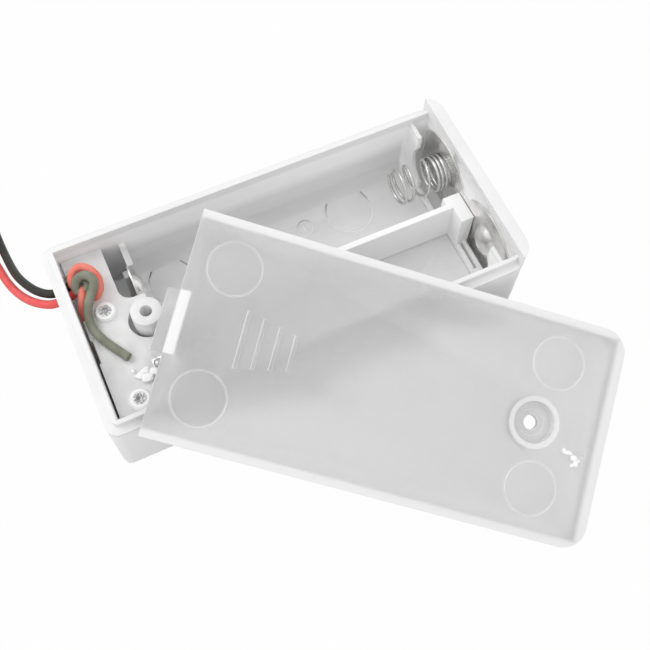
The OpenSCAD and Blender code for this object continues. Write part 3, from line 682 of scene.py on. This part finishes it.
# A Geometry Nodes tree with named sizes, used once and kept as a plain mesh
class Pattern(Tree):
    def __init__(self, name, sizes):
        self.group = bpy.data.node_groups.new(name, "GeometryNodeTree")
        super().__init__(self.group)
        self.group.interface.new_socket("Geometry", in_out="OUTPUT", socket_type="NodeSocketGeometry")
        self.sizes = {}
        for size, value in sizes.items():
            kind = "NodeSocketInt" if isinstance(value, int) else "NodeSocketFloat"
            socket = self.group.interface.new_socket(size, in_out="INPUT", socket_type=kind)
            self.sizes[socket.identifier] = value
        self.given = self.node("NodeGroupInput")

    def __getitem__(self, size):
        return self.given[size]

    def kept(self, name, geometry, skin):
        real = self.node("GeometryNodeRealizeInstances", None, {"Geometry": geometry})["Geometry"]
        painted = self.node("GeometryNodeSetMaterial", None, {"Geometry": real, "Material": skin})
        self.node("NodeGroupOutput", None, {"Geometry": painted["Geometry"]})
        maker = linked(name + "Maker", bpy.data.meshes.new(name))
        step = maker.modifiers.new("pattern", "NODES")
        step.node_group = self.group
        for identifier, value in self.sizes.items():
            step[identifier] = value
        graph = bpy.context.evaluated_depsgraph_get()
        mesh = bpy.data.meshes.new_from_object(maker.evaluated_get(graph))
        bpy.data.objects.remove(maker)
        smoothed(mesh, 50)
        mesh.name = name
        return linked(name, mesh)


# Contact springs: tight turns on the plate, a long and a short stretched turn, one tight turn at the tip
spring = {
    "radius": 3.0, "wire": 0.55, "length": 9.0, "tight": 0.72, "tightTurns": 3, "short": 0.37,
    "stretchedTurns": 2, "tipTurns": 1, "steps": 32, "sides": 12, "lift": 1.2,
}


def contactSpring(name, foot, way, node):
    stretch = spring["length"] - spring["wire"]
    stretch -= spring["tight"] * (spring["tightTurns"] + spring["tipTurns"])
    turns = spring["tightTurns"] + spring["stretchedTurns"] + spring["tipTurns"]
    pattern = Pattern(name + "Pattern", {
        "Radius": spring["radius"] * mm,
        "Wire radius": spring["wire"] * mm / 2,
        "Tight pitch": spring["tight"] * mm,
        "Stretch": stretch * mm,
        "Short share": spring["short"],
        "Tight turns": spring["tightTurns"],
        "Steps": turns * spring["steps"] + 1,
        "Foot x": foot[0] * mm,
        "Foot y": foot[1] * mm,
        "Foot z": foot[2] * mm,
        "Way": float(way),
    })
    line = pattern.node("GeometryNodeCurvePrimitiveLine")["Curve"]
    dense = pattern.node("GeometryNodeResampleCurve", None, {"Curve": line, "Count": pattern["Steps"]})
    turn = pattern.node("GeometryNodeInputIndex")["Index"] * (1 / spring["steps"])
    tight = pattern["Tight turns"]
    tip = (turn - tight - spring["stretchedTurns"]).atLeast(0)
    along = pattern["Tight pitch"] * (turn.atMost(tight) + tip)
    long = (turn - tight).clipped() * (1 - pattern["Short share"])
    short = (turn - tight - 1).clipped() * pattern["Short share"]
    along = along + pattern["Stretch"] * (long + short) + pattern["Wire radius"] * spring["lift"]
    around = turn * (2 * math.pi)
    place = pattern.node("ShaderNodeCombineXYZ", None, {
        "X": pattern["Foot x"] + pattern["Way"] * along,
        "Y": pattern["Foot y"] + pattern["Radius"] * around.maths("COSINE", around),
        "Z": pattern["Foot z"] + pattern["Radius"] * around.maths("SINE", around),
    })["Vector"]
    bent = pattern.node("GeometryNodeSetPosition", None, {"Geometry": dense["Curve"], "Position": place})
    profile = pattern.node("GeometryNodeCurvePrimitiveCircle", None, {
        "Resolution": spring["sides"], "Radius": pattern["Wire radius"],
    })
    wound = pattern.node("GeometryNodeCurveToMesh", None, {
        "Curve": bent["Geometry"], "Profile Curve": profile["Curve"], "Fill Caps": True,
    })
    piece = pattern.kept(name, wound["Mesh"], springWire)
    settled(piece, "box", "nickel", node)


contactSpring("joiningSpring", (32.7, 7.8, 8.5), -1, "joining_spring")
contactSpring("negativeSpring", (-21.8, -7.8, 8.5), 1, "negative_spring")
print("springs wound")


# Wires inside the box: both leads go round in one knot over the lead hole
redInside = [
    (-31.6, 8.7, 13.4), (-32.0, 9.3, 13.9), (-32.0, 10.1, 14.3), (-31.35, 11.1, 14.8), (-29.9, 11.4, 15.2),
    (-28.7, 10.3, 15.3), (-27.95, 8.6, 15.0), (-28.2, 7.1, 14.5), (-29.1, 6.2, 13.6), (-29.9, 6.6, 13.0),
    (-30.3, 7.7, 13.2), (-30.7, 8.2, 14.0), (-31.05, 7.2, 14.2), (-31.6, 6.1, 13.4), (-32.1, 5.6, 12.2),
    (-32.2, 5, 11), (-32.1, 4, 9.8), (-31.8, 2, 8.9), (-31.1, 0.2, 8.4), (-30.4, -1.1, 8.1),
    (-29.9, -1.9, 7.9),
]
blackInside = [
    (-31.6, 10.4, 13.5), (-30.6, 9.9, 14), (-29.6, 8.8, 14.4), (-29.9, 7.7, 14.3), (-31, 7.5, 13.7),
    (-31.9, 8.2, 14), (-31.5, 9, 15), (-30.6, 9.4, 15.7), (-29.5, 9.1, 16.1),
    (-28.7, 8, 16.2), (-28.9, 7, 15.6), (-29.8, 6.3, 15), (-30.8, 5.2, 14.2), (-31.6, 3.7, 13.4),
    (-31.7, 1.7, 13.05), (-31.1, -0.5, 13.02), (-29.8, -2.7, 13.02), (-28.2, -5.3, 13.02),
]
wireThick = {"tail": 1.4, "jumper": 1.0}
jumper = [
    (-28.2, -4.4, 7.9), (-27.6, -3.8, 8), (-27.5, -2.4, 8.3), (-27.6, 0.2, 8.5), (-27.3, 2.5, 8.8),
    (-26.2, 3.7, 9.4), (-24.8, 4.1, 9.8),
]


def insideWire(name, points, diameter, skin, slot, *nodes):
    return settled(wireCurve(name, points, diameter, skin), "box", slot, *nodes)


insideWire(
    "redTail", redInside, wireThick["tail"], paleRedSkin, "faded_red_insulation", "red_tail", "lead_knot"
)
insideWire("blackTail", blackInside, wireThick["tail"], oliveSkin, "olive_insulation", "black_tail")
insideWire("jumperWire", jumper, wireThick["jumper"], redSkin, "red_insulation", "jumper_wire")
print("knot tied")


# Table and light, in metres. Below the horizon the sky keeps the horizon's level
table = {"size": 1.6, "drop": 0.00005, "paper": 0.4, "spread": 0.01, "fibre": 0.6, "glow": 0.985}
sky = {"horizon": 0.78, "lift": 1.3, "liftHeight": 0.25, "zenith": 0.96, "zenithHeight": 0.8}
window = {"place": (-0.35, 0.3, 0.55), "size": 0.4, "power": 1.1}


def makeTable():
    half = table["size"] / 2
    shape = bmesh.new()
    corners = [(-half, -half), (half, -half), (half, half), (-half, half)]
    shape.faces.new([shape.verts.new((x, y, -table["drop"])) for x, y in corners])
    mesh = bpy.data.meshes.new("paleTable")
    shape.to_mesh(mesh)
    shape.free()
    finish = Finish("palePaper", Roughness=0.9)
    # What is seen directly, mirrored or through plastic is white, and the rest is lit paper
    path = finish.node("ShaderNodeLightPath")
    direct = path["Is Camera Ray"].atLeast(path["Is Glossy Ray"]).atLeast(path["Is Transmission Ray"])
    seen = direct * table["glow"]
    paper = [grey(table["paper"] + side * table["spread"]) for side in (-1, 1)]
    finish.set(Base_Color=finish.blend(finish.noise(table["fibre"], 3), *paper))
    glow = finish.node("ShaderNodeEmission", None, {"Color": grey(1), "Strength": 1.0})["Emission"]
    mixed = finish.node(
        "ShaderNodeMixShader", None, {0: seen, 1: finish.shader["BSDF"], 2: glow}
    )["Shader"]
    # From below the table is see-through, so that the switch and the underside can be looked at
    clearSheet = finish.node("ShaderNodeBsdfTransparent")["BSDF"]
    below = finish.node("ShaderNodeNewGeometry")["Backfacing"]
    mesh.materials.append(finish.finished(
        finish.node("ShaderNodeMixShader", None, {0: below, 1: mixed, 2: clearSheet})["Shader"]
    ))
    linked("paleTable", mesh)


def makeWorld():
    world = bpy.data.worlds.new("softRoom")
    world.use_nodes = True
    scene.world = world
    tree = Tree(world.node_tree)
    world.node_tree.nodes.clear()
    direction = tree.node("ShaderNodeTexCoord")["Generated"]
    height = tree.node("ShaderNodeSeparateXYZ", None, {"Vector": direction})["Z"]
    soft = tree.node("ShaderNodeValToRGB", {"stops": [
        (0.0, grey(sky["horizon"])),
        (sky["liftHeight"], grey(sky["horizon"] * sky["lift"])),
        (sky["zenithHeight"], grey(sky["zenith"])),
    ]}, {"Fac": height})["Color"]
    shown = tree.node("ShaderNodeLightPath")["Is Camera Ray"]
    background = tree.node("ShaderNodeMix", {"data_type": "RGBA"}, {0: shown, 6: soft, 7: grey(1)})[2]
    made = tree.node("ShaderNodeBackground", None, {"Color": background, "Strength": 1.0})
    tree.node("ShaderNodeOutputWorld", None, {"Surface": made["Background"]})


def makeLamp(name, piece):
    data = bpy.data.lights.new(name, "AREA")
    data.shape = "SQUARE"
    data.size = piece["size"]
    data.energy = piece["power"]
    lamp = linked(name, data)
    lamp.location = piece["place"]
    lamp.rotation_euler = Vector(piece["place"]).to_track_quat("Z", "Y").to_euler()


makeTable()
makeWorld()
makeLamp("windowLight", window)
scene.view_settings.view_transform = "Standard"
print("table and light set")
